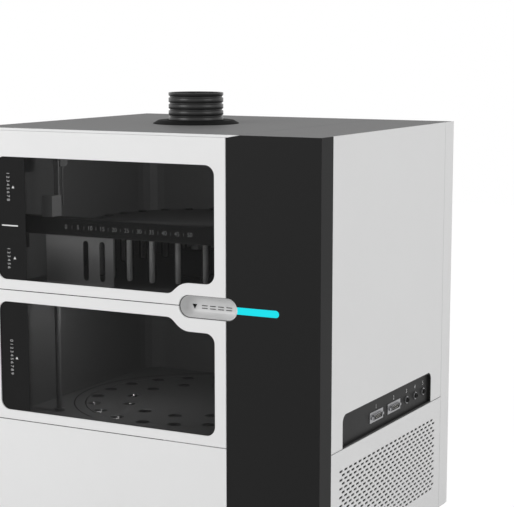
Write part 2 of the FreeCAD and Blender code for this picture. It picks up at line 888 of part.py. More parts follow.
def probe():
    y0 = beam_y[1] + 2 * rest_gap + grip_thickness + rail_thickness
    high = beam_z[1] + probe_rail_height
    low = high - probe_head_height
    head = block(carriage_x - 8, carriage_x + 8, y0, needle_y + 6, low, high)
    cap = polygon_rod(carriage_x, needle_y, high, high + 5, 4, small_sides)
    needle = polygon_rod(carriage_x, needle_y, low - needle_length, high + 8, needle_radius, small_sides)
    return joined([head, cap, needle])


# Exhaust

def exhaust_collar():
    """Ribbed spout for the duct, and the sloping flange that holds it on the cover."""
    high = top + collar_height
    root = collar_radius - groove_depth
    profile = [(0, top), (collar_radius, top)]
    for i in range(rib_count):
        z = high - collar_lip - rib_pitch * (rib_count - 1 - i)
        profile.append((collar_radius, z - groove_width))
        profile.append((root, z - groove_width / 2))
        profile.append((collar_radius, z))
    profile += [(collar_radius, high - 1), (0, high - 1)]
    lip = rod_z(stack_x, stack_y, high - collar_lip, high, collar_radius)
    spout = joined([faceted(profile, stack_x, stack_y, collar_sides), lip])
    spout = spout.cut(rod_z(stack_x, stack_y, top - 1, high + 1, collar_bore))
    slope = [(0, top), (flange_radius, top), (flange_top_radius, top + flange_height),
             (0, top + flange_height)]
    flange = faceted(slope, stack_x, stack_y, collar_sides)
    hole_radius = (collar_radius + fit_gap) / math.cos(math.pi / collar_sides)
    hole = polygon_rod(stack_x, stack_y, top - 1, high, hole_radius, collar_sides)
    return group([spout, flange.cut(hole)])


def fan_frame():
    """Square fan housing about the Z axis, open through its bore, with a spider at its foot."""
    half = fan_side / 2
    body = prism(rectangle(-half, half, -half, half), "xy", 0, fan_depth)
    body = body.cut(polygon_rod(0, 0, -1, fan_depth + 1, fan_bore, fan_sides))
    spider = [polygon_rod(0, 0, 0, 3, fan_hub_radius, hole_sides)]
    for i in range(3):
        arm = block(0, fan_bore + 1, -3, 3, 0, 3)
        arm.rotate(V(0, 0, 0), V(0, 0, 1), 120 * i + 30)
        spider.append(arm)
    frame = joined([body] + spider)
    bore_radius = (fan_pin_radius + running_gap) / math.cos(math.pi / small_sides)
    return frame.cut(polygon_rod(0, 0, -1, 4, bore_radius, small_sides))


def fan_rotor(reach):
    hub = polygon_rod(0, 0, 3.5, fan_depth - 2, fan_hub_radius, hole_sides)
    spindle = polygon_rod(0, 0, 0.5, 4, fan_pin_radius, small_sides)
    pieces = [hub, spindle]
    for i in range(blade_count):
        blade = block(fan_hub_radius - 2, reach, -blade_thickness / 2, blade_thickness / 2, -9, 9)
        blade.rotate(V(0, 0, 0), V(1, 0, 0), blade_tilt)
        blade.translate(V(0, 0, fan_depth / 2 + 1))
        blade.rotate(V(0, 0, 0), V(0, 0, 1), 360.0 * i / blade_count)
        pieces.append(blade)
    return joined(pieces)


def under_collar(shape):
    shape.translate(V(stack_x, stack_y, frame_top - fan_depth))
    return shape


def behind_grille(shape):
    shape.rotate(V(0, 0, 0), V(0, 1, 0), 90)
    z = (grille_z[0] + grille_z[1]) / 2
    shape.translate(V(right - sheet - fan_depth, (grille_y[0] + grille_y[1]) / 2, z))
    return shape


# Port bay

def bay_outline(inset, drop=0.0):
    """Bay opening: its lower edge is the seam between the side panels."""
    z0 = service_top_z + seam_gap / 2 + inset - drop
    y0 = bay_y[0] + inset
    y1 = bay_y[1] - inset
    z1 = bay_top - inset
    radius = bay_radius - inset
    return [(y0, z0, 0), (y1, z0, 0), (y1, z1, radius), (y0, z1, radius)]


def port_bay():
    outer = prism(bay_outline(fit_gap), "yz", right - bay_depth - sheet, right - fit_gap)
    return outer.cut(prism(bay_outline(fit_gap + sheet), "yz", right - bay_depth, right + 1))


def data_outline(y, width, height):
    slope = height * 0.18
    return [(y - width / 2 + slope, port_z - height / 2, 0), (y + width / 2 - slope, port_z - height / 2, 0),
            (y + width / 2, port_z + height / 2, 0), (y - width / 2, port_z + height / 2, 0)]


def data_ports():
    """Metal flange and shell of each data port with its jack screws, and the round ports' nuts."""
    floor_x = right - bay_depth
    shells = []
    for y in data_port_y:
        plate = prism(rectangle(y - data_flange[0] / 2, y + data_flange[0] / 2,
                                port_z - data_flange[1] / 2, port_z + data_flange[1] / 2),
                      "yz", floor_x, floor_x + 1.2)
        shell = prism(data_outline(y, data_shell[0], data_shell[1]), "yz", floor_x, floor_x + 5)
        hollow = prism(data_outline(y, data_shell[0] - 1.6, data_shell[1] - 1.6), "yz",
                       floor_x - 1, floor_x + 6)
        jacks = [polygon_rod(y + side * jack_reach, port_z, floor_x, floor_x + 4.5, jack_radius, 6, "yz")
                 for side in (-1, 1)]
        shells.append(joined([plate, shell] + jacks).cut(hollow))
    for y in round_port_y:
        nut = polygon_rod(y, port_z, floor_x, floor_x + 2, round_nut_radius, 6, "yz")
        shells.append(nut.cut(polygon_rod(y, port_z, floor_x - 1, floor_x + 3, round_port_radius + seat_gap,
                                          hole_sides, "yz")))
    return group(shells)


def port_inserts():
    """Plastic cores of the data ports, and barrels of the round ports beside them."""
    floor_x = right - bay_depth
    inserts = []
    for y in data_port_y:
        inserts.append(prism(data_outline(y, data_shell[0] - 2, data_shell[1] - 2), "yz",
                             floor_x, floor_x + 4))
    for y in round_port_y:
        barrel = polygon_rod(y, port_z, floor_x, floor_x + 5, round_port_radius, hole_sides, "yz")
        bore = polygon_rod(y, port_z, floor_x + 2, floor_x + 6, round_port_radius - 1.5, hole_sides, "yz")
        inserts.append(barrel.cut(bore))
    return group(inserts)


# Rear recesses

def recess_pan(x, z):
    back = inner_rear - recess_depth
    outer = prism(rectangle(x[0] - sheet, x[1] + sheet, z[0] - sheet, z[1] + sheet), "xz",
                  back - sheet, inner_rear)
    hollow = rectangle(x[0], x[1], z[0], z[1], recess_corner)
    return outer.cut(prism(hollow, "xz", back, inner_rear + 1, corner_steps))


def inlet_centre():
    return inlet_x[0] + 32.0, (inlet_z[0] + inlet_z[1]) / 2


def switch_centre():
    return inlet_x[1] - 26.0, (inlet_z[0] + inlet_z[1]) / 2


def rear_inlet_pan():
    pan = recess_pan(inlet_x, inlet_z)
    back = inner_rear - recess_depth
    x, z = inlet_centre()
    sx, sz = switch_centre()
    pan = pan.cut(block(x - 15, x + 15, back - sheet - 1, back + 1, z - 12, z + 12))
    return pan.cut(block(sx - 9, sx + 9, back - sheet - 1, back + 1, sz - 14, sz + 14))


def power_inlet():
    back = inner_rear - recess_depth
    x, z = inlet_centre()
    flange = prism(rectangle(x - 25, x + 25, z - 15, z + 15), "xz", back, back + 3)
    body = block(x - 14.8, x + 14.8, back - 26, back + 3, z - 11.8, z + 11.8)
    inlet = joined([flange, body])
    cavity = [(x - 12, z - 8, 0), (x + 12, z - 8, 0), (x + 12, z + 4, 0), (x + 8, z + 8, 0),
              (x - 8, z + 8, 0), (x - 12, z + 4, 0)]
    inlet = inlet.cut(prism(cavity, "xz", back - 16, back + 4))
    pins = [block(x + dx - 1, x + dx + 1, back - 17, back - 2, z + dz - 2, z + dz + 2)
            for dx, dz in ((-7, -2), (0, 2), (7, -2))]
    return joined([inlet] + pins)


def rocker_housing():
    back = inner_rear - recess_depth
    x, z = switch_centre()
    flange = prism(rectangle(x - 11, x + 11, z - 16, z + 16), "xz", back, back + 3)
    body = block(x - 8.8, x + 8.8, back - 16, back + 3, z - 13.8, z + 13.8)
    housing = joined([flange, body])
    housing = housing.cut(block(x - 6.5, x + 6.5, back - 8, back + 4, z - 11, z + 11))
    bore_radius = (rocker_pin_radius + running_gap) / math.cos(math.pi / small_sides)
    return housing.cut(polygon_rod(back, z, x - 7.7, x + 7.7, bore_radius, small_sides, "yz"))


def power_rocker():
    back = inner_rear - recess_depth
    x, z = switch_centre()
    corners = [(back - 3, z - 2, 0), (back + 4, z - rocker_half, 0), (back + 2.5, z, 0),
               (back + 4, z + rocker_half, 0), (back - 3, z + 2, 0)]
    pin = polygon_rod(back, z, x - 7.5, x + 7.5, rocker_pin_radius, small_sides, "yz")
    rocker = joined([prism(corners, "yz", x - 6.2, x + 6.2), pin])
    rocker.rotate(V(x, back, z), V(1, 0, 0), rocker_tilt)
    return rocker


def fluid_fittings():
    back = inner_rear - recess_depth
    z = (fluid_z[0] + fluid_z[1]) / 2
    pitch = (fluid_x[1] - fluid_x[0]) / barb_count
    fittings = []
    for i in range(barb_count):
        x = fluid_x[0] + pitch * (i + 0.5)
        nut = polygon_rod(x, z, back, back + 4, nut_radius, 6, "xz")
        stem = polygon_rod(x, z, back, back + 12, barb_radius, hole_sides, "xz")
        fittings.append(joined([nut, stem]))
    return group(fittings)


# Drive and supply pieces inside

def power_supply():
    x0 = left + supply_inset
    width, depth, height = supply_size
    return block(x0, x0 + width, -depth / 2, depth / 2, floor_z, floor_z + height)


def control_board():
    thickness, length, height = board_size
    x0 = partition_x + sheet
    x1 = x0 + board_stand
    x2 = x1 + thickness
    y0, z0 = board_middle
    pieces = [block(x1, x2, y0 - length / 2, y0 + length / 2, z0 - height / 2, z0 + height / 2)]
    for y in (y0 - length / 2 + 10, y0 + length / 2 - 10):
        for z in (z0 - height / 2 + 10, z0 + height / 2 - 10):
            pieces.append(polygon_rod(y, z, x0, x1 + 0.5, 3, 6, "yz"))
    for dy, dz, w, h, d in ((-50, 40, 30, 30, 3), (20, 20, 24, 24, 3), (-30, -70, 60, 14, 12),
                            (70, -40, 14, 60, 12)):
        pieces.append(block(x2 - 0.6, x2 + d, y0 + dy, y0 + dy + w, z0 + dz, z0 + dz + h))
    return joined(pieces)


def reagent_pumps():
    x0 = partition_x + sheet
    length, radius = pump_motor
    thickness, side = pump_head
    half = side / 2
    x1 = x0 + length
    pumps = []
    for y in pump_y:
        body = polygon_rod(y, pump_z, x0, x1, radius, hole_sides, "yz")
        head = block(x1, x1 + thickness, y - half, y + half, pump_z - half, pump_z + half)
        foot = block(x0, x0 + pump_foot, y - half + 1, y + half - 1, pump_z - half + 1, pump_z + half - 1)
        pumps.append(joined([body, head, foot]))
    return group(pumps)


nodes = {
    "base_tray": base_tray(),
    "feet": feet(),
    "frame": frame(),
    "left_side_panel": left_side_panel(),
    "right_upper_panel": right_upper_panel(),
    "right_lower_panel": right_lower_panel(),
    "rear_cover": rear_cover(),
    "top_cover_left": top_cover_left(),
    "top_cover_right": top_cover_right(),
    "front_top_trim": front_top_trim(),
    "service_panel": service_panel(),
    "bulkhead": bulkhead(),
    "partition": partition(),
    "column_cover": column_cover(),
    "light_bar": light_bar(),
    "pull_cup": pull_cup(),
    "hinge_set": hinge_set(),
    "door_gaskets": door_gaskets(),
    "strike_plates": strike_plates(),
    "chamber_liners": group([chamber_liner(deck_top, frame_top - post_side),
                             chamber_liner(well_top, deck_under)]),
    "deck": deck(),
    "sample_well": sample_well(),
    "guide_post": post_of_lower_chamber(),
    "gantry_beam": gantry_beam(),
    "tube_guard": tube_guard(),
    "drive_motors": group([motor(well_bottom - motor_height), motor(deck_top)]),
    "shaft_bearings": group([bearing(well_bottom), bearing(deck_top + motor_height)]),
    "exhaust_collar": exhaust_collar(),
    "fan_frames": group([under_collar(fan_frame()), behind_grille(fan_frame())]),
    "port_bay": port_bay(),
    "data_ports": data_ports(),
    "port_inserts": port_inserts(),
    "rear_pans": group([rear_inlet_pan(), recess_pan(fluid_x, fluid_z)]),
    "power_inlet": group([power_inlet(), rocker_housing()]),
    "fluid_fittings": fluid_fittings(),
    "power_supply": power_supply(),
    "control_board": control_board(),
    "reagent_pumps": reagent_pumps(),
    "upper_door_frame": door_frame(upper_door_z, upper_window()),
    "upper_door_bezel": door_bezel(upper_window()),
    "upper_door_pane": door_pane(upper_window()),
    "upper_door_back": door_back_panel(upper_door_z, upper_window()),
    "upper_door_catch": door_catch(upper_window_z),
    "lower_door_frame": door_frame(lower_door_z, lower_window()),
    "lower_door_bezel": door_bezel(lower_window()),
    "lower_door_pane": door_pane(lower_window()),
    "lower_door_back": door_back_panel(lower_door_z, lower_window()),
    "lower_door_catch": door_catch(lower_window_z),
    "tray_plate": tray_plate(),
    "tray_carrier": tray_carrier(),
    "sample_vials": sample_vials(),
    "carousel_plate": carousel_plate(),
    "carousel_shaft": carousel_shaft(),
    "reaction_tubes": reaction_tubes(),
    "carriage": carriage(),
    "probe": probe(),
    "exhaust_rotor": under_collar(fan_rotor(fan_bore - 3)),
    "cooling_rotor": behind_grille(fan_rotor(fan_bore - 3)),
    "power_rocker": power_rocker(),
}

os.makedirs("parts", exist_ok=True)
for name, shape in nodes.items():
    shape.exportStep("parts/" + name + ".step")
print(len(nodes), "nodes written")
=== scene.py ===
# Looks of the chemical oxygen demand analyzer: finishes, fine pieces, lights and camera.
# Metres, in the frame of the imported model.
import json
import math

import bmesh
import bpy
from mathutils import Matrix, Vector


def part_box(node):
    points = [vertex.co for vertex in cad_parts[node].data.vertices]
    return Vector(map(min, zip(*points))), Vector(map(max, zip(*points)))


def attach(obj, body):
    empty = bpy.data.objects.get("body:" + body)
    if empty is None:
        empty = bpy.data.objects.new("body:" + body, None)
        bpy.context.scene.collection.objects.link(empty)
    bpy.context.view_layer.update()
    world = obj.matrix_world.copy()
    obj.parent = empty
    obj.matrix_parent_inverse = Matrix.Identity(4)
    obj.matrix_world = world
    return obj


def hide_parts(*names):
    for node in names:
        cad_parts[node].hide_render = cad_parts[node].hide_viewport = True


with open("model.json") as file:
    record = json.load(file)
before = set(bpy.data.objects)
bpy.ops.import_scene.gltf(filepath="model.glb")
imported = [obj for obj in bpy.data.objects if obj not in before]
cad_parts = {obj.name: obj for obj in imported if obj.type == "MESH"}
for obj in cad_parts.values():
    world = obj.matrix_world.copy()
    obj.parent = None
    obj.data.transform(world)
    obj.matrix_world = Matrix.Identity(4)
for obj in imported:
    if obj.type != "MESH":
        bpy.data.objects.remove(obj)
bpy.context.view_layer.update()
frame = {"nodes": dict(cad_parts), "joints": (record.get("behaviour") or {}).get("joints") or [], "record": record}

nodes = frame["nodes"]

# Places read from the frame
collar_low, collar_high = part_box("exhaust_collar")
stack_x = (collar_low[0] + collar_high[0]) / 2
stack_y = (collar_low[1] + collar_high[1]) / 2
grille_low, grille_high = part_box("right_lower_panel")
fan_axis = next(joint["pos_m"] for joint in frame["joints"] if joint["name"] == "cooling_spin")
door_low, door_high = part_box("lower_door_frame")
service_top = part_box("service_panel")[1][2]
tray_low, tray_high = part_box("tray_plate")
vial_low, vial_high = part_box("sample_vials")
tube_low, tube_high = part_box("reaction_tubes")
cup_low, cup_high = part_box("pull_cup")
upper_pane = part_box("upper_door_pane")
lower_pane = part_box("lower_door_pane")
beam_low, beam_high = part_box("gantry_beam")
bay_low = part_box("port_bay")[0]
port_low, port_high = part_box("data_ports")
well_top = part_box("sample_well")[1][2]
rear_low, rear_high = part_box("rear_cover")
foot_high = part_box("feet")[1]


# Finishes

relief_depth = 0.0002
even = (1.0, 1.0, 1.0)


def linear(level):
    """Linear value of a display level from 0 to 255."""
    value = level / 255
    if value <= 0.04045:
        return value / 12.92
    return ((value + 0.055) / 1.055) ** 2.4


def grey(level):
    return (linear(level), linear(level), linear(level))


def shader_of(material):
    return material.node_tree.nodes["Principled BSDF"]


def new_material(name, colour, roughness, metallic=0.0, specular=0.5):
    material = bpy.data.materials.new(name)
    material.use_nodes = True
    shader = shader_of(material)
    shader.inputs["Base Color"].default_value = (*colour, 1.0)
    shader.inputs["Roughness"].default_value = roughness
    shader.inputs["Metallic"].default_value = metallic
    shader.inputs["Specular IOR Level"].default_value = specular
    return material


def add_node(material, kind, sockets):
    node = material.node_tree.nodes.new(kind)
    for socket, value in sockets.items():
        node.inputs[socket].default_value = value
    return node


def join(material, source, output, target, socket):
    material.node_tree.links.new(source.outputs[output], target.inputs[socket])


def noise_on(material, stretch, sockets):
    """Noise in the coordinates of the piece itself, stretched along its axes."""
    coordinates = add_node(material, "ShaderNodeTexCoord", {})
    mapping = add_node(material, "ShaderNodeMapping", {"Scale": stretch})
    noise = add_node(material, "ShaderNodeTexNoise", sockets)
    join(material, coordinates, "Object", mapping, "Vector")
    join(material, mapping, "Vector", noise, "Vector")
    return noise


def spread_about(material, middle, spread):
    """Node that turns noise into values up to the spread on both sides of the middle."""
    sockets = {"To Min": middle - spread, "To Max": middle + spread}
    return add_node(material, "ShaderNodeMapRange", sockets)


def grain(material, scale, strength, edge=0.0, stretch=even):
    """Fine relief from noise, over slightly rounded edges."""
    noise = noise_on(material, stretch, {"Scale": scale, "Detail": 3.0, "Roughness": 0.55})
    bump = add_node(material, "ShaderNodeBump", {"Strength": strength, "Distance": relief_depth})
    join(material, noise, "Fac", bump, "Height")
    if edge:
        bevel = add_node(material, "ShaderNodeBevel", {"Radius": edge})
        bevel.samples = 4
        join(material, bevel, "Normal", bump, "Normal")
    join(material, bump, "Normal", shader_of(material), "Normal")


def mottle(material, colour, colour_spread, scale, roughness, gloss_spread, stretch=even):
    """Slow variation of colour and gloss."""
    noise = noise_on(material, stretch, {"Scale": scale, "Detail": 4.0, "Roughness": 0.6})
    ramp = add_node(material, "ShaderNodeValToRGB", {})
    darker, lighter = ramp.color_ramp.elements
    darker.position = 0.3
    darker.color = (*[c * (1 - colour_spread) for c in colour], 1.0)
    lighter.position = 0.7
    lighter.color = (*[min(c * (1 + colour_spread), 1.0) for c in colour], 1.0)
    join(material, noise, "Fac", ramp, "Fac")
    join(material, ramp, "Color", shader_of(material), "Base Color")
    gloss = spread_about(material, roughness, gloss_spread)
    join(material, noise, "Fac", gloss, "Value")
    join(material, gloss, "Result", shader_of(material), "Roughness")


def coated(name, colour, roughness, specular=0.5):
    """Powder-coated sheet: fine orange peel and softly rounded edges."""
    material = new_material(name, colour, roughness, specular=specular)
    mottle(material, colour, colour_spread=0.012, scale=5.0, roughness=roughness, gloss_spread=0.03)
    grain(material, scale=900.0, strength=0.12, edge=0.0008)
    return material


def moulded(name, colour, roughness, specular=0.4):
    """Moulded plastic with a spark-eroded grain."""
    material = new_material(name, colour, roughness, specular=specular)
    mottle(material, colour, colour_spread=0.05, scale=30.0, roughness=roughness, gloss_spread=0.05)
    grain(material, scale=1600.0, strength=0.25, edge=0.0004)
    return material


def metal(name, colour, roughness, stretch=even):
    """Brushed or rolled metal, its lines along the stretched axis."""
    material = new_material(name, colour, roughness, metallic=1.0)
    mottle(material, colour, colour_spread=0.08, scale=260.0, roughness=roughness, gloss_spread=0.06,
           stretch=stretch)
    grain(material, scale=900.0, strength=0.08, edge=0.0003, stretch=stretch)
    return material


def glass_pane(name, colour, alpha, specular):
    """Tinted pane that lets part of the light straight through."""
    material = new_material(name, colour, roughness=0.04, specular=specular)
    noise = noise_on(material, even, {"Scale": 7.0, "Detail": 2.0})
    tint = spread_about(material, alpha, spread=0.01)
    join(material, noise, "Fac", tint, "Value")
    join(material, tint, "Result", shader_of(material), "Alpha")
    return material


def lit_lens(name, glow):
    """Lens that shines in the display levels of its glow."""
    material = new_material(name, (0.0, 0.02, 0.03), roughness=0.4, specular=0.1)
    shader = shader_of(material)
    shader.inputs["Emission Color"].default_value = (*[linear(level) for level in glow], 1.0)
    shader.inputs["Emission Strength"].default_value = 1.0
    grain(material, scale=300.0, strength=0.05)
    return material


# Finish of each material slot of the solids
finishes = {
    "white_cover": coated("white_coat", grey(232), 0.42),
    # The top covers take a mid grey, darker than the white front and sides.
    "grey_cover": coated("top_cover_grey", grey(106), 0.6, specular=0.2),
    "black_cover": coated("black_coat", grey(26), 0.5, specular=0.12),
    "black_plastic": moulded("black_moulding", grey(36), 0.5, specular=0.15),
    "rubber": moulded("rubber_black", grey(30), 0.75, specular=0.2),
    "tinted_glass": glass_pane("tinted_pane", grey(19), 0.38, specular=0.12),
    "clear_glass": glass_pane("tube_glass", grey(70), 0.3, specular=0.5),
    "pull_grey": moulded("pull_plastic", grey(212), 0.35),
    "light": lit_lens("light_lens", (24, 223, 234)),
    "steel": metal("steel_brushed", (0.60, 0.60, 0.61), 0.32, stretch=(1.0, 1.0, 0.05)),
    "frame_metal": metal("galvanised_sheet", (0.52, 0.53, 0.54), 0.45),
    "chamber_sheet": coated("chamber_coat", grey(112), 0.5),
    "tray_metal": coated("tray_coat", grey(110), 0.45),
    "vial_cap": moulded("cap_plastic", grey(26), 0.4, specular=0.3),
    "dark_beam": coated("beam_anodised", grey(52), 0.6, specular=0.15),
    "motor_black": coated("motor_coat", grey(30), 0.5, specular=0.2),
    "board_green": moulded("board_mask", (0.03, 0.13, 0.05), 0.35),
    "pump_body": moulded("pump_plastic", grey(140), 0.45),
}

# Finishes of single nodes
own_finishes = {
    "tube_guard": coated("guard_coat", grey(140), 0.6, specular=0.2),
    "carriage": coated("carriage_coat", grey(150), 0.6, specular=0.2),
    "probe": coated("probe_coat", grey(128), 0.6, specular=0.2),
    "guide_post": coated("post_coat", grey(120), 0.6, specular=0.2),
    "deck": coated("deck_coat", grey(62), 0.6, specular=0.2),
    "carousel_plate": coated("plate_coat", grey(80), 0.6, specular=0.2),
    "data_ports": metal("port_metal", (0.36, 0.36, 0.37), 0.45),
}

# Finishes of the pieces made here
collar_plastic = moulded("collar_moulding", grey(36), 0.3, specular=0.4)
# Flange: a darker, duller copy of the collar's moulding, painted shade on its up-facing surface.
flange_shaded_plastic = moulded("flange_moulding_painted_shade", grey(22), 0.7, specular=0.05)
filter_foam = moulded("filter_foam", grey(30), 0.85, specular=0.1)
cap_metal = metal("cap_metal", (0.85, 0.85, 0.86), 0.22)
tube_cap = moulded("tube_cap", grey(45), 0.5, specular=0.2)
# White core of the reaction tubes: painted highlight, the bright strip seen down the glass.
tube_highlight_white = moulded("tube_core_painted_highlight", grey(240), 0.35)
# Darker grey on the rim of the pull recess: painted shade along its edge.
rim_painted_shade = moulded("rim_painted_shade", grey(96), 0.5, specular=0.2)
contact_metal = metal("contact_metal", (0.62, 0.60, 0.56), 0.3)
# Black of the prints, also used as painted shade for the floor arc and the screw sockets.
black_print_and_shade = moulded("black_print_and_shade", grey(23), 0.4, specular=0.1)
print_white = moulded("print_white", grey(222), 0.5, specular=0.2)
print_grey = moulded("print_grey", grey(190), 0.5, specular=0.2)
print_dark = moulded("print_dark", grey(80), 0.5, specular=0.2)

for part in frame["record"]["subparts"]:
    for holder in nodes[part["node"]].material_slots:
        holder.material = finishes[part["material_slot"]]
for node, material in own_finishes.items():
    nodes[node].material_slots[0].material = material


# Making pieces

sharp_angle = math.radians(32.0)
mark_thickness = 0.0001
mark_lift = 0.0001
weld_distance = 1e-6
# Turns of an outline in its own plane to the front and to the right side
facing_front = Matrix(((1, 0, 0, 0), (0, 0, -1, 0), (0, 1, 0, 0), (0, 0, 0, 1)))
facing_right = Matrix(((0, 0, 1, 0), (1, 0, 0, 0), (0, 1, 0, 0), (0, 0, 0, 1)))


def finish(name, mesh, materials, body, stands_for=()):
    """Object of a mesh, with its materials and body; the nodes that it stands for are hidden."""
    for material in materials:
        mesh.materials.append(material)
    piece = bpy.data.objects.new(name, mesh)
    bpy.context.scene.collection.objects.link(piece)
    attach(piece, body)
    if stands_for:
        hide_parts(*stands_for)


def soften(work):
    """Smooth shading that keeps the edges above the sharp angle."""
    for face in work.faces:
        face.smooth = True
    for edge in work.edges:
        edge.smooth = len(edge.link_faces) == 2 and edge.calc_face_angle() < sharp_angle


def to_mesh(work, name):
    bmesh.ops.recalc_face_normals(work, faces=work.faces)
    soften(work)
    mesh = bpy.data.meshes.new(name)
    work.to_mesh(mesh)
    work.free()
    return mesh


def lathe(work, profile, x, y, segments):
    """Adds a turned form through (radius, height, material index) points."""
    angles = [2 * math.pi * i / segments for i in range(segments)]
    turns = [(math.cos(angle), math.sin(angle)) for angle in angles]
    rings = []
    for radius, z, _ in profile:
        if radius == 0:
            rings.append([work.verts.new((x, y, z))] * segments)
        else:
            rings.append([work.verts.new((x + radius * c, y + radius * s, z)) for c, s in turns])
    for low, high, point in zip(rings, rings[1:], profile[1:]):
        for i in range(segments):
            k = (i + 1) % segments
            corners = []
            for corner in (low[i], low[k], high[k], high[i]):
                if corner not in corners:
                    corners.append(corner)
            face = work.faces.new(corners)
            face.material_index = point[2]


def arc(centre, radius, start, end, steps):
    """Points (u, v) along a circular arc, in degrees."""
    points = []
    for i in range(steps + 1):
        angle = math.radians(start + (end - start) * i / steps)
        points.append((centre[0] + radius * math.cos(angle), centre[1] + radius * math.sin(angle)))
    return points


def circle(centre, radius, count):
    return arc(centre, radius, 0, 360 - 360 / count, count - 1)


def rounded(u0, u1, v0, v1, radius, steps):
    """Rectangle with round corners, each in as many steps."""
    corners = [(u1 - radius, v0 + radius), (u1 - radius, v1 - radius),
               (u0 + radius, v1 - radius), (u0 + radius, v0 + radius)]
    points = []
    for centre, start in zip(corners, (-90, 0, 90, 180)):
        points += arc(centre, radius, start, start + 90, steps)
    return points


def flattened(curve, turn):
    """Mesh of a curve or text, carried by the turn."""
    holder = bpy.data.objects.new(curve.name, curve)
    mesh = bpy.data.meshes.new_from_object(holder)
    mesh.name = curve.name
    bpy.data.objects.remove(holder)
    mesh.transform(turn)
    return mesh


def plate(name, outline, holes, thickness, edge, turn):
    """Flat plate with holes and softened edges; turn carries its plane into the frame."""
    curve = bpy.data.curves.new(name, "CURVE")
    curve.dimensions = "2D"
    curve.fill_mode = "BOTH"
    curve.extrude = thickness / 2 - edge
    curve.bevel_depth = edge
    curve.bevel_resolution = 1
    curve.offset = -edge
    for loop in [outline] + holes:
        spline = curve.splines.new("POLY")
        spline.points.add(len(loop) - 1)
        for point, (u, v) in zip(spline.points, loop):
            point.co = (u, v, 0.0, 1.0)
        spline.use_cyclic_u = True
    mesh = flattened(curve, turn)
    work = bmesh.new()
    work.from_mesh(mesh)
    soften(work)
    work.to_mesh(mesh)
    work.free()
    return mesh


def set_at(turn, x=0.0, y=0.0, z=0.0):
    return Matrix.Translation((x, y, z)) @ turn


def words(name, text, size, turn, material, body, spin=0.0):
    """Flat numerals, centred, turned in their own plane by spin degrees."""
    curve = bpy.data.curves.new(name, "FONT")
    curve.body = text
    curve.size = size
    curve.extrude = mark_thickness / 2
    curve.align_x = "CENTER"
    curve.align_y = "CENTER"
    mesh = flattened(curve, turn @ Matrix.Rotation(math.radians(spin), 4, "Z"))
    finish(name, mesh, [material], body)


def shape_mark(name, outline, turn, material, body):
    """Flat mark of a plain shape."""
    finish(name, plate(name, outline, [], mark_thickness, 0.0, turn), [material], body)


# Exhaust collar: an edge with two sizes has a width across and a height

collar_bore = 0.0485
collar_radius = 0.0518
collar_edge = 0.0008
bore_edge = 0.0006
collar_segments = 128
flange_radius = 0.0811
flange_top_radius = 0.0711
flange_height = 0.0064
flange_rim = 0.0008
flange_edge = (0.001, 0.0004)
step_width = 0.004
step_height = 0.0012
step_edge = (0.0005, 0.0002)
groove_count = 4
groove_pitch = 0.012
groove_depth = 0.0024
groove_width = 0.004
groove_flank = 0.25
groove_edge = (0.0005, 0.0008)
land_height = 0.006


def duct_collar():
    low = collar_low[2]
    high = collar_high[2]
    top = low + flange_height
    step_top = top + step_height
    step_radius = collar_radius + step_width
    rib, flange = range(2)
    profile = [(collar_bore, low, rib), (flange_radius, low, flange),
               (flange_radius, low + flange_rim, flange),
               (flange_top_radius + flange_edge[0], top - flange_edge[1], flange),
               (flange_top_radius, top, flange), (step_radius, top, flange),
               (step_radius - step_edge[0], step_top - step_edge[1], flange),
               (collar_radius, step_top, flange)]
    root = collar_radius - groove_depth
    for i in range(groove_count):
        end = high - land_height - groove_pitch * (groove_count - 1 - i)
        start = end - groove_width
        flank = groove_width * groove_flank
        profile += [(collar_radius, start - groove_edge[1], rib),
                    (collar_radius - groove_edge[0], start, rib),
                    (root, start + flank, rib), (root, end - flank, rib),
                    (collar_radius - groove_edge[0], end, rib),
                    (collar_radius, end + groove_edge[1], rib)]
    profile += [(collar_radius, high - collar_edge, rib), (collar_radius - collar_edge, high, rib),
                (collar_bore + bore_edge, high, rib), (collar_bore, high - bore_edge, rib),
                (collar_bore, low, rib)]
    work = bmesh.new()
    lathe(work, profile, stack_x, stack_y, collar_segments)
    bmesh.ops.remove_doubles(work, verts=work.verts, dist=weld_distance)
    finish("duct_collar", to_mesh(work, "duct_collar"), [collar_plastic, flange_shaded_plastic],
           "cabinet", ["exhaust_collar"])


# Side cover with its grille

grille_rows = 19
grille_columns = 22
grille_slot = (0.0138, 0.0041)
slot_steps = 4
grille_front = grille_low[1] + 0.031
grille_back = grille_high[1] - 0.0257
grille_bottom = 0.0724
grille_top = 0.218
cover_corner = 0.0008
cover_edge = 0.0002


def grille_cover():
    pitch_y = (grille_back - grille_front) / (grille_columns + 0.5)
    pitch_z = (grille_top - grille_bottom) / grille_rows
    length, height = grille_slot
    slots = []
    for row in range(grille_rows):
        z = grille_bottom + pitch_z * (row + 0.5)
        for column in range(grille_columns):
            y = grille_front + pitch_y * (column + 0.5 + 0.5 * (row % 2))
            slots.append(rounded(y - length / 2, y + length / 2, z - height / 2, z + height / 2,
                                 height / 2, slot_steps))
    outline = rounded(grille_low[1], grille_high[1], grille_low[2], grille_high[2], cover_corner, 2)
    thickness = grille_high[0] - grille_low[0]
    turn = set_at(facing_right, x=grille_low[0] + thickness / 2)
    mesh = plate("grille_cover", outline, slots, thickness, cover_edge, turn)
    finish("grille_cover", mesh, [finishes["white_cover"]], "cabinet",
           ["right_lower_panel"])


# Filter mat behind the grille, open round the fan

mat_thickness = 0.0012
mat_margin = 0.003
mat_corner = 0.004
mat_edge = 0.0002
mat_corner_steps = 4
fan_half = 0.060
fan_clearance = 0.0006
fan_corner = 0.003


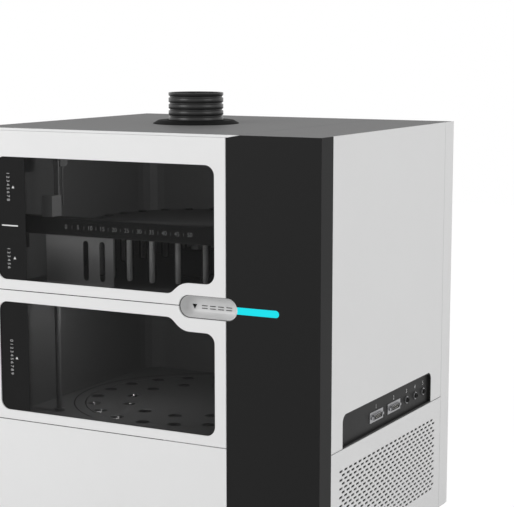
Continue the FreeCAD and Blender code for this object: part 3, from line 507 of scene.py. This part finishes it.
def filter_mat():
    fan_y, fan_z = fan_axis[1:]
    outline = rounded(grille_front - mat_margin, grille_back + mat_margin, grille_bottom - mat_margin,
                      grille_top + mat_margin, mat_corner, mat_corner_steps)
    half = fan_half + fan_clearance
    opening = rounded(fan_y - half, fan_y + half, fan_z - half, fan_z + half, fan_corner,
                      mat_corner_steps)
    turn = set_at(facing_right, x=grille_low[0] - mat_thickness / 2 - mark_lift)
    mesh = plate("filter_mat", outline, [opening], mat_thickness, mat_edge, turn)
    finish("filter_mat", mesh, [filter_foam], "cabinet")


# Dark strips in the gaps under the doors: painted shade for the depth of the gaps

gap_strip_left = door_low[0] + 0.004
gap_strip_right = cup_low[0] - 0.030
gap_strip_front = door_low[1] + 0.0012
gap_strip_back = door_low[1] + 0.0060
gap_strip_side = 0.0006
gap_strip_height = 0.0009
gap_strip_bevel = 0.0008


def edge_seal(name, rest_z, body):
    """Thin dark strip along an edge under a gap: painted shade for the depth of the gap."""
    side_z = rest_z + gap_strip_side
    crown_z = rest_z + gap_strip_height
    section = [(gap_strip_front, rest_z), (gap_strip_back, rest_z), (gap_strip_back, side_z),
               (gap_strip_back - gap_strip_bevel, crown_z), (gap_strip_front + gap_strip_bevel, crown_z),
               (gap_strip_front, side_z)]
    work = bmesh.new()
    left, right = [[work.verts.new((x, y, z)) for y, z in section] for x in (gap_strip_left, gap_strip_right)]
    for i in range(len(section)):
        k = (i + 1) % len(section)
        work.faces.new((left[i], left[k], right[k], right[i]))
    work.faces.new(left)
    work.faces.new(list(reversed(right)))
    finish(name, to_mesh(work, name), [finishes["rubber"]], body)


# Sample tray and vials

tray_radius = 0.2165
tray_segments = 180
tray_edge = 0.0006
hole_radius = 0.013
hole_segments = 36
# Count, radius and phase in degrees of each ring of places
tray_rings = ((20, 0.201, 0.0), (12, 0.134, 12.0))


def tray_places():
    places = []
    for count, radius, phase in tray_rings:
        for i in range(count):
            angle = math.radians(phase + 360 * i / count)
            places.append((stack_x + radius * math.cos(angle), stack_y + radius * math.sin(angle)))
    return places


def tray_top():
    outline = circle((stack_x, stack_y), tray_radius, tray_segments)
    holes = [circle(place, hole_radius, hole_segments) for place in tray_places()]
    thickness = tray_high[2] - tray_low[2]
    turn = Matrix.Translation((0, 0, (tray_high[2] + tray_low[2]) / 2))
    mesh = plate("tray_top", outline, holes, thickness, tray_edge, turn)
    finish("tray_top", mesh, [finishes["tray_metal"]], "sample_tray", ["tray_plate"])


vial_segments = 32
vial_radius = 0.0116
vial_round = 0.002
cap_radius = 0.0122
cap_height = 0.013
cap_edge = (0.0003, 0.0005)
cap_round = 0.0008
cap_rim = 0.0014
dish_slope = 0.0006
dish_depth = 0.0008
# Vials with a crimped metal cap, counted from the outer ring's first place
crimped_vials = (12, 13, 14, 26, 27)
crimp_round = (0.0016, 0.0014)
crimp_hole = 0.5 * cap_radius
crimp_floor = 0.44 * cap_radius
septum_radius = 0.40 * cap_radius
septum_depth = 0.0012
septum_bulge = 0.0006


def capped_vials():
    low = vial_low[2]
    top = vial_high[2]
    seam = top - cap_height
    dish = cap_radius - cap_round - cap_rim
    glass, plastic, crimp = range(3)
    body = [(0, low, glass), (vial_radius - vial_round, low, glass),
            (vial_radius, low + vial_round, glass), (vial_radius, seam, glass)]
    screwed = body + [(cap_radius - cap_edge[0], seam, plastic), (cap_radius, seam + cap_edge[1], plastic),
                      (cap_radius, top - cap_round, plastic), (cap_radius - cap_round, top, plastic),
                      (dish, top, plastic), (dish - dish_slope, top - dish_depth, plastic),
                      (0, top - dish_depth, plastic)]
    crimped = body + [(cap_radius, seam, crimp), (cap_radius, top - crimp_round[1], crimp),
                      (cap_radius - crimp_round[0], top, crimp), (crimp_hole, top, crimp),
                      (crimp_floor, top - septum_depth, crimp),
                      (septum_radius, top - septum_depth, plastic), (0, top - septum_bulge, plastic)]
    work = bmesh.new()
    for index, (x, y) in enumerate(tray_places()):
        lathe(work, crimped if index in crimped_vials else screwed, x, y, vial_segments)
    materials = [finishes["clear_glass"], finishes["vial_cap"], cap_metal]
    finish("capped_vials", to_mesh(work, "capped_vials"), materials, "sample_tray",
           ["sample_vials"])


# Reaction tubes: as many and where the frame has them

tube_radius = 0.008
tube_segments = 28
tube_floor_steps = 6
tube_cap_height = 0.002
tube_cap_edge = 0.0004
# White core inside each tube: painted highlight standing in for the bright strip down the glass.
core_radius = 0.0050
core_segments = 20
core_tip_radius = 0.7 * core_radius
# Tip, shoulder and side of the core, above the tube's lower end
core_rises = (0.002, 0.003, 0.006)
core_top_gap = 0.012
shell_gap = 1e-5


def tube_places():
    """Middles of the tubes, from the separate shells of the node's mesh."""
    work = bmesh.new()
    work.from_mesh(nodes["reaction_tubes"].data)
    bmesh.ops.remove_doubles(work, verts=work.verts, dist=shell_gap)
    seen = set()
    places = []
    for vert in work.verts:
        if vert.index in seen:
            continue
        shell = [vert]
        seen.add(vert.index)
        for member in shell:
            for edge in member.link_edges:
                other = edge.other_vert(member)
                if other.index not in seen:
                    seen.add(other.index)
                    shell.append(other)
        xs = [v.co.x for v in shell]
        ys = [v.co.y for v in shell]
        places.append(((min(xs) + max(xs)) / 2, (min(ys) + max(ys)) / 2))
    work.free()
    return places


def glass_tubes():
    low = tube_low[2]
    high = tube_high[2]
    glass, cap, core = range(3)
    profile = [(0, low, glass)]
    for radius, z in arc((0, low + tube_radius), tube_radius, -90, 0, tube_floor_steps)[1:]:
        profile.append((radius, z, glass))
    profile += [(tube_radius, high - tube_cap_height, glass), (tube_radius, high - tube_cap_edge, cap),
                (tube_radius - tube_cap_edge, high, cap), (0, high, cap)]
    tip, shoulder, side = [low + rise for rise in core_rises]
    highlight_core_profile = [(0, tip, core), (core_tip_radius, shoulder, core), (core_radius, side, core),
               (core_radius, high - core_top_gap, core), (0, high - core_top_gap, core)]
    work = bmesh.new()
    for x, y in tube_places():
        lathe(work, profile, x, y, tube_segments)
        lathe(work, highlight_core_profile, x, y, core_segments)
    materials = [finishes["clear_glass"], tube_cap, tube_highlight_white]
    finish("glass_tubes", to_mesh(work, "glass_tubes"), materials,
           "reaction_carousel", ["reaction_tubes"])


# Pull recess with its marks

cup_wall = 0.002
cup_lip = 0.0068
cup_round = 0.0006
cup_depth = 0.0200
# Radius of the flat middle of the dish and power of the curve round it
cup_core = 0.004
cup_curve = 5
cup_floor_steps = 16
cup_end_steps = 16
cup_rim_steps = 4
cup_middle_z = (cup_low[2] + cup_high[2]) / 2
cup_radius = (cup_high[2] - cup_low[2]) / 2
cup_left = cup_low[0] + cup_radius
cup_right = cup_high[0] - cup_radius


def pull_shell():
    """Capsule with a rounded rim and a dished floor; the rim takes a darker grey, painted shade along the recess
    edge.
    """
    front = cup_low[1]
    inner = cup_radius - cup_lip
    profile = [(cup_radius, front + cup_depth + cup_wall), (cup_radius, front + cup_round),
               (cup_radius - cup_round, front), (inner + cup_round, front), (inner, front + cup_round)]
    for step in range(1, cup_floor_steps + 1):
        radius = inner - (inner - cup_core) * step / cup_floor_steps
        fall = (cup_depth - cup_round) * (1 - (radius / inner) ** cup_curve)
        profile.append((radius, front + cup_round + fall))
    work = bmesh.new()
    loops = []
    for radius, y in profile:
        outline = rounded(cup_left - radius, cup_right + radius, cup_middle_z - radius,
                          cup_middle_z + radius, radius, cup_end_steps)
        loops.append([work.verts.new((u, y, v)) for u, v in outline])
    floor_finish, shaded_rim_finish = range(2)
    for step, (low, high) in enumerate(zip(loops, loops[1:])):
        for i in range(len(low)):
            k = (i + 1) % len(low)
            face = work.faces.new((low[i], low[k], high[k], high[i]))
            face.material_index = shaded_rim_finish if step < cup_rim_steps else floor_finish
    work.faces.new(loops[-1])
    work.faces.new(list(reversed(loops[0])))
    bmesh.ops.remove_doubles(work, verts=work.verts, dist=weld_distance)
    finish("pull_shell", to_mesh(work, "pull_shell"), [finishes["pull_grey"], rim_painted_shade],
           "cabinet", ["pull_cup"])


pull_mark_y = cup_low[1] + cup_depth - 0.0006
pull_arrow_x = cup_left - 0.001
pull_arrow_half = 0.0045
pull_arrow_top = 0.0012
pull_arrow_tip = 0.0070
bar_count = 4
bar_start = pull_arrow_x + 0.014
bar_pitch = 0.0160
bar_length = 0.0115
bar_height = 0.0014
bar_corner = 0.0006
# Number in the name and height below the middle, for both rows of bars
bar_rows = {57: 0.0058, 11: 0.0012}


def pull_marks():
    """Arrow and bars in the recess."""
    turn = set_at(facing_front, y=pull_mark_y)
    top = cup_middle_z + pull_arrow_top
    arrow = [(pull_arrow_x, cup_middle_z - pull_arrow_tip), (pull_arrow_x + pull_arrow_half, top),
             (pull_arrow_x - pull_arrow_half, top)]
    shape_mark("pull_arrow", arrow, turn, black_print_and_shade, "cabinet")
    for i in range(bar_count):
        u = bar_start + bar_pitch * i
        for number, drop in bar_rows.items():
            low = cup_middle_z - drop
            bar = rounded(u, u + bar_length, low, low + bar_height, bar_corner, 3)
            shape_mark(f"pull_bar_{i + 1}_{number}", bar, turn, print_dark, "cabinet")


# Prints on the windows, in places from the lower left corner of the pane

band_margin = (0.0068, 0.0071)
band_width = 0.0628
band_corner = 0.0175
band_corner_steps = 10
band_edge = 0.0004
window_print_size = 0.0088
arrow_half = 0.0029
arrow_low = 0.0024
arrow_high = 0.0026
dash_span = (0.0165, 0.0524)
dash_half = 0.0012
dash_corner = 0.0005
# Place of the numerals, the numerals, place of the arrow
upper_labels = [((0.0322, 0.1764), "1 2 3 4 5 6 7 8", (0.0433, 0.1761)),
                ((0.0304, 0.0457), "1 2 3 4 5 6", (0.0437, 0.0467))]
lower_labels = [((0.0315, 0.1059), "0 1 2 3 4 5 6 7 8 9", (0.0428, 0.1051))]
upper_dash_rise = 0.1056


def window_band(low, high):
    """Outline of the dark band, with wide round corners on its left."""
    left = low[0] + band_margin[0]
    right = left + band_width
    bottom = low[2] + band_margin[1]
    top = high[2] - band_margin[1]
    return (arc((right - band_edge, bottom + band_edge), band_edge, -90, 0, 2)
            + arc((right - band_edge, top - band_edge), band_edge, 0, 90, 2)
            + arc((left + band_corner, top - band_corner), band_corner, 90, 180, band_corner_steps)
            + arc((left + band_corner, bottom + band_corner), band_corner, 180, 270, band_corner_steps))


def window_prints(door, pane, labels, dash_rise=None):
    low, high = pane
    turn = set_at(facing_front, y=low[1] - mark_lift)
    lift = set_at(facing_front, y=low[1] - mark_lift - mark_thickness)
    shape_mark(f"{door}_band", window_band(low, high), turn, black_print_and_shade, door)
    for index, ((text_x, text_z), text, (arrow_x, arrow_z)) in enumerate(labels):
        words(f"{door}_numbers_{index + 1}", text, window_print_size,
              set_at(lift, x=low[0] + text_x, z=low[2] + text_z), print_grey, door, spin=-90)
        u = low[0] + arrow_x
        v = low[2] + arrow_z
        arrow = [(u - arrow_half, v - arrow_low), (u + arrow_half, v - arrow_low), (u, v + arrow_high)]
        shape_mark(f"{door}_arrow_{index + 1}", arrow, lift, print_white, door)
    if dash_rise is not None:
        v = low[2] + dash_rise
        dash = rounded(low[0] + dash_span[0], low[0] + dash_span[1], v - dash_half, v + dash_half,
                       dash_corner, 2)
        shape_mark(f"{door}_dash", dash, lift, print_white, door)


# Scale on the beam

beam_foot = 0.026
scale_rise = 0.002
scale_left = beam_low[0] + 0.117
scale_pitch = 0.0261
scale_count = 11
scale_unit = 5
scale_size = 0.011
tick_half = (0.0004, 0.003)
tick_corner = 0.0002


def beam_scale():
    z = (beam_low[2] + beam_foot + beam_high[2]) / 2 + scale_rise
    turn = set_at(facing_front, y=beam_low[1] - mark_lift)
    for i in range(scale_count):
        x = scale_left + scale_pitch * i
        words(f"beam_number_{i + 1}", str(i * scale_unit), scale_size, set_at(turn, x=x, z=z),
              print_white, "cabinet")
    for i in range(scale_count - 1):
        x = scale_left + scale_pitch * (i + 0.5)
        tick = rounded(x - tick_half[0], x + tick_half[0], z - tick_half[1], z + tick_half[1],
                       tick_corner, 1)
        shape_mark(f"beam_tick_{i + 1}", tick, turn, print_grey, "cabinet")


# Ports

data_port_y = (-0.050, 0.030)
round_port_y = (0.091, 0.132, 0.172)
bay_floor_x = bay_low[0] + 0.002
port_z = (port_low[2] + port_high[2]) / 2
label_rise = 0.0165
label_size = 0.0110
contact_x = bay_floor_x + 0.0042
# Number of pins and rise of each row
contact_rows = ((5, 0.00168), (4, -0.00168))
contact_pitch = 0.0055
contact_radii = (0.0008, 0.0006)
contact_length = 0.0012
contact_segments = 12


def port_label(name, number, y):
    turn = set_at(facing_right, x=bay_floor_x + mark_lift, y=y, z=port_z + label_rise)
    words(name, str(number), label_size, turn, print_white, "cabinet")


def port_contacts(name, y):
    """Two rows of pins in a data port."""
    work = bmesh.new()
    for count, rise in contact_rows:
        for i in range(count):
            u = y + (i - (count - 1) / 2) * contact_pitch
            turn = Matrix.Translation((contact_x, u, port_z + rise)) @ Matrix.Rotation(math.pi / 2, 4, "Y")
            bmesh.ops.create_cone(work, cap_ends=True, segments=contact_segments,
                                  radius1=contact_radii[0], radius2=contact_radii[1],
                                  depth=contact_length, matrix=turn)
    finish(name, to_mesh(work, name), [contact_metal], "cabinet")


def port_details():
    for index, y in enumerate(data_port_y):
        port_label(f"port_number_{index + 1}", index + 1, y)
        port_contacts(f"port_contacts_{index + 1}", y)
    for index, y in enumerate(round_port_y):
        port_label(f"jack_number_{index + 1}", index + 1 + len(data_port_y), y)


# Dark arc on the floor of the lower chamber: painted shade of a gap round the tray

line_radius = 0.240
line_width = 0.0026
line_span = (78, 246)
line_steps = 84


def floor_line():
    start, end = line_span
    outer = arc((stack_x, stack_y), line_radius, start, end, line_steps)
    inner = arc((stack_x, stack_y), line_radius - line_width, end, start, line_steps)
    turn = Matrix.Translation((0, 0, well_top + mark_lift))
    shape_mark("floor_line", outer + inner, turn, black_print_and_shade, "cabinet")


# Screws of the rear cover

screw_radius = 0.0036
screw_height = 0.0003
screw_segments = 24
socket_mouth = 0.42 * screw_radius
socket_radius = 0.38 * screw_radius
screw_columns = (rear_low[0] + 0.012, 0.0, rear_high[0] - 0.012)
screw_rows = (0.045, 0.28, 0.53, rear_high[2] - 0.014)


def rear_screws():
    head, socket = range(2)
    half = screw_height * 0.5
    floor_rise = screw_height * 0.4
    profile = [(screw_radius, 0.0, head), (screw_radius, half, head),
               (screw_radius - half, screw_height, head), (socket_mouth, screw_height, head),
               (socket_radius, floor_rise, socket), (0, floor_rise, socket)]
    work = bmesh.new()
    for x in screw_columns:
        for z in screw_rows:
            made = len(work.verts)
            lathe(work, profile, 0.0, 0.0, screw_segments)
            work.verts.ensure_lookup_table()
            turn = Matrix.Translation((x, rear_high[1], z)) @ Matrix.Rotation(-math.pi / 2, 4, "X")
            bmesh.ops.transform(work, matrix=turn, verts=work.verts[made:])
    # The sockets take the black: painted shade in the shallow sockets.
    finish("rear_screws", to_mesh(work, "rear_screws"), [finishes["steel"], black_print_and_shade],
           "cabinet")


# Feet

foot_radius = 0.0215
foot_inset = 0.022
foot_segments = 64
# Wide and fine step of the rounded sole
foot_sole = (0.003, 0.0008)
foot_taper = 0.003


def rubber_feet():
    top = foot_high[2]
    wide, fine = foot_sole
    profile = [(0, 0.0, 0), (foot_radius - wide, 0.0, 0), (foot_radius - fine, fine, 0),
               (foot_radius, wide, 0), (foot_radius - foot_taper, top, 0), (0, top, 0)]
    work = bmesh.new()
    for side in (-1, 1):
        for end in (-1, 1):
            lathe(work, profile, side * (foot_high[0] - foot_inset), end * (foot_high[1] - foot_inset),
                  foot_segments)
    finish("rubber_feet", to_mesh(work, "rubber_feet"), [finishes["rubber"]], "cabinet",
           ["feet"])


duct_collar()
grille_cover()
filter_mat()
edge_seal("door_gap_shade", door_high[2], "lower_door")
edge_seal("service_gap_shade", service_top, "cabinet")
tray_top()
capped_vials()
glass_tubes()
pull_shell()
pull_marks()
window_prints("upper_door", upper_pane, upper_labels, upper_dash_rise)
window_prints("lower_door", lower_pane, lower_labels)
beam_scale()
port_details()
floor_line()
rear_screws()
rubber_feet()


# Floor and sky

floor_half = 6.0
floor_white = 0.85
floor_glow = 1.09
floor_glow_share = 0.86
sky_seen = 1.0
sky_light = 0.55


def ray_share(tree):
    """1 for rays from the camera, from gloss and through glass, otherwise 0."""
    path = tree.nodes.new("ShaderNodeLightPath")
    share = path.outputs["Is Camera Ray"]
    for kind in ("Is Glossy Ray", "Is Transmission Ray"):
        larger = tree.nodes.new("ShaderNodeMath")
        larger.operation = "MAXIMUM"
        tree.links.new(share, larger.inputs[0])
        tree.links.new(path.outputs[kind], larger.inputs[1])
        share = larger.outputs[0]
    return share


def floor_material():
    """White that shines for the camera and is a plain surface for the light."""
    material = bpy.data.materials.new("floor_white")
    material.use_nodes = True
    tree = material.node_tree
    tree.nodes.clear()
    diffuse = tree.nodes.new("ShaderNodeBsdfDiffuse")
    diffuse.inputs["Color"].default_value = (floor_white, floor_white, floor_white, 1.0)
    glow = tree.nodes.new("ShaderNodeEmission")
    glow.inputs["Strength"].default_value = floor_glow
    share = tree.nodes.new("ShaderNodeMath")
    share.operation = "MULTIPLY"
    share.inputs[1].default_value = floor_glow_share
    tree.links.new(ray_share(tree), share.inputs[0])
    mix = tree.nodes.new("ShaderNodeMixShader")
    tree.links.new(share.outputs[0], mix.inputs["Fac"])
    tree.links.new(diffuse.outputs[0], mix.inputs[1])
    tree.links.new(glow.outputs[0], mix.inputs[2])
    output = tree.nodes.new("ShaderNodeOutputMaterial")
    tree.links.new(mix.outputs[0], output.inputs["Surface"])
    return material


def floor():
    corners = [(-floor_half, -floor_half, 0), (floor_half, -floor_half, 0),
               (floor_half, floor_half, 0), (-floor_half, floor_half, 0)]
    mesh = bpy.data.meshes.new("floor")
    mesh.from_pydata(corners, [], [(0, 1, 2, 3)])
    mesh.materials.append(floor_material())
    plane = bpy.data.objects.new("floor", mesh)
    bpy.context.scene.collection.objects.link(plane)


def sky():
    world = bpy.data.worlds.new("studio")
    bpy.context.scene.world = world
    world.use_nodes = True
    tree = world.node_tree
    tree.nodes.clear()
    strength = tree.nodes.new("ShaderNodeMapRange")
    strength.inputs["To Min"].default_value = sky_light
    strength.inputs["To Max"].default_value = sky_seen
    tree.links.new(ray_share(tree), strength.inputs["Value"])
    background = tree.nodes.new("ShaderNodeBackground")
    background.inputs["Color"].default_value = (1.0, 1.0, 1.0, 1.0)
    tree.links.new(strength.outputs["Result"], background.inputs["Strength"])
    output = tree.nodes.new("ShaderNodeOutputWorld")
    tree.links.new(background.outputs[0], output.inputs["Surface"])


# Lamps and camera

photo_width = 514
focal_pixels = 1567.2
sensor_width = 36.0
camera_place = (1.4480, -2.5773, 0.9482)
camera_turn = (80.887, 0.0, 28.05)
camera_shift = 0.071
camera_reach = 50.0


def lamp(name, where, towards, size, power):
    light = bpy.data.lights.new(name, "AREA")
    light.shape = "RECTANGLE"
    light.size, light.size_y = size
    light.energy = power
    holder = bpy.data.objects.new(name, light)
    holder.location = where
    holder.rotation_euler = (Vector(towards) - Vector(where)).to_track_quat("-Z", "Y").to_euler()
    bpy.context.scene.collection.objects.link(holder)


def camera():
    data = bpy.data.cameras.new("view")
    data.sensor_width = sensor_width
    data.lens = focal_pixels / photo_width * sensor_width
    data.shift_y = camera_shift
    data.clip_end = camera_reach
    holder = bpy.data.objects.new("view", data)
    holder.location = camera_place
    holder.rotation_euler = [math.radians(angle) for angle in camera_turn]
    bpy.context.scene.collection.objects.link(holder)
    bpy.context.scene.camera = holder


floor()
sky()
lamp("key", where=(-1.6, -3.2, 2.2), towards=(0.0, 0.0, 0.5), size=(2.0, 2.0), power=55.0)
lamp("side", where=(3.4, -0.4, 1.8), towards=(0.0, 0.0, 0.5), size=(2.0, 2.0), power=22.0)
lamp("upper_chamber_lamp", where=(0.05, -0.222, 0.762), towards=(-0.24, 0.15, 0.60),
     size=(0.08, 0.012), power=0.62)
lamp("beam_lamp", where=(-0.10, -0.246, 0.587), towards=(-0.10, -0.10, 0.52),
     size=(0.40, 0.008), power=0.055)
lamp("lower_chamber_lamp", where=(-0.15, -0.19, 0.488), towards=(-0.15, 0.00, 0.20),
     size=(0.22, 0.04), power=0.43)
camera()
bpy.context.scene.view_settings.view_transform = "Standard"
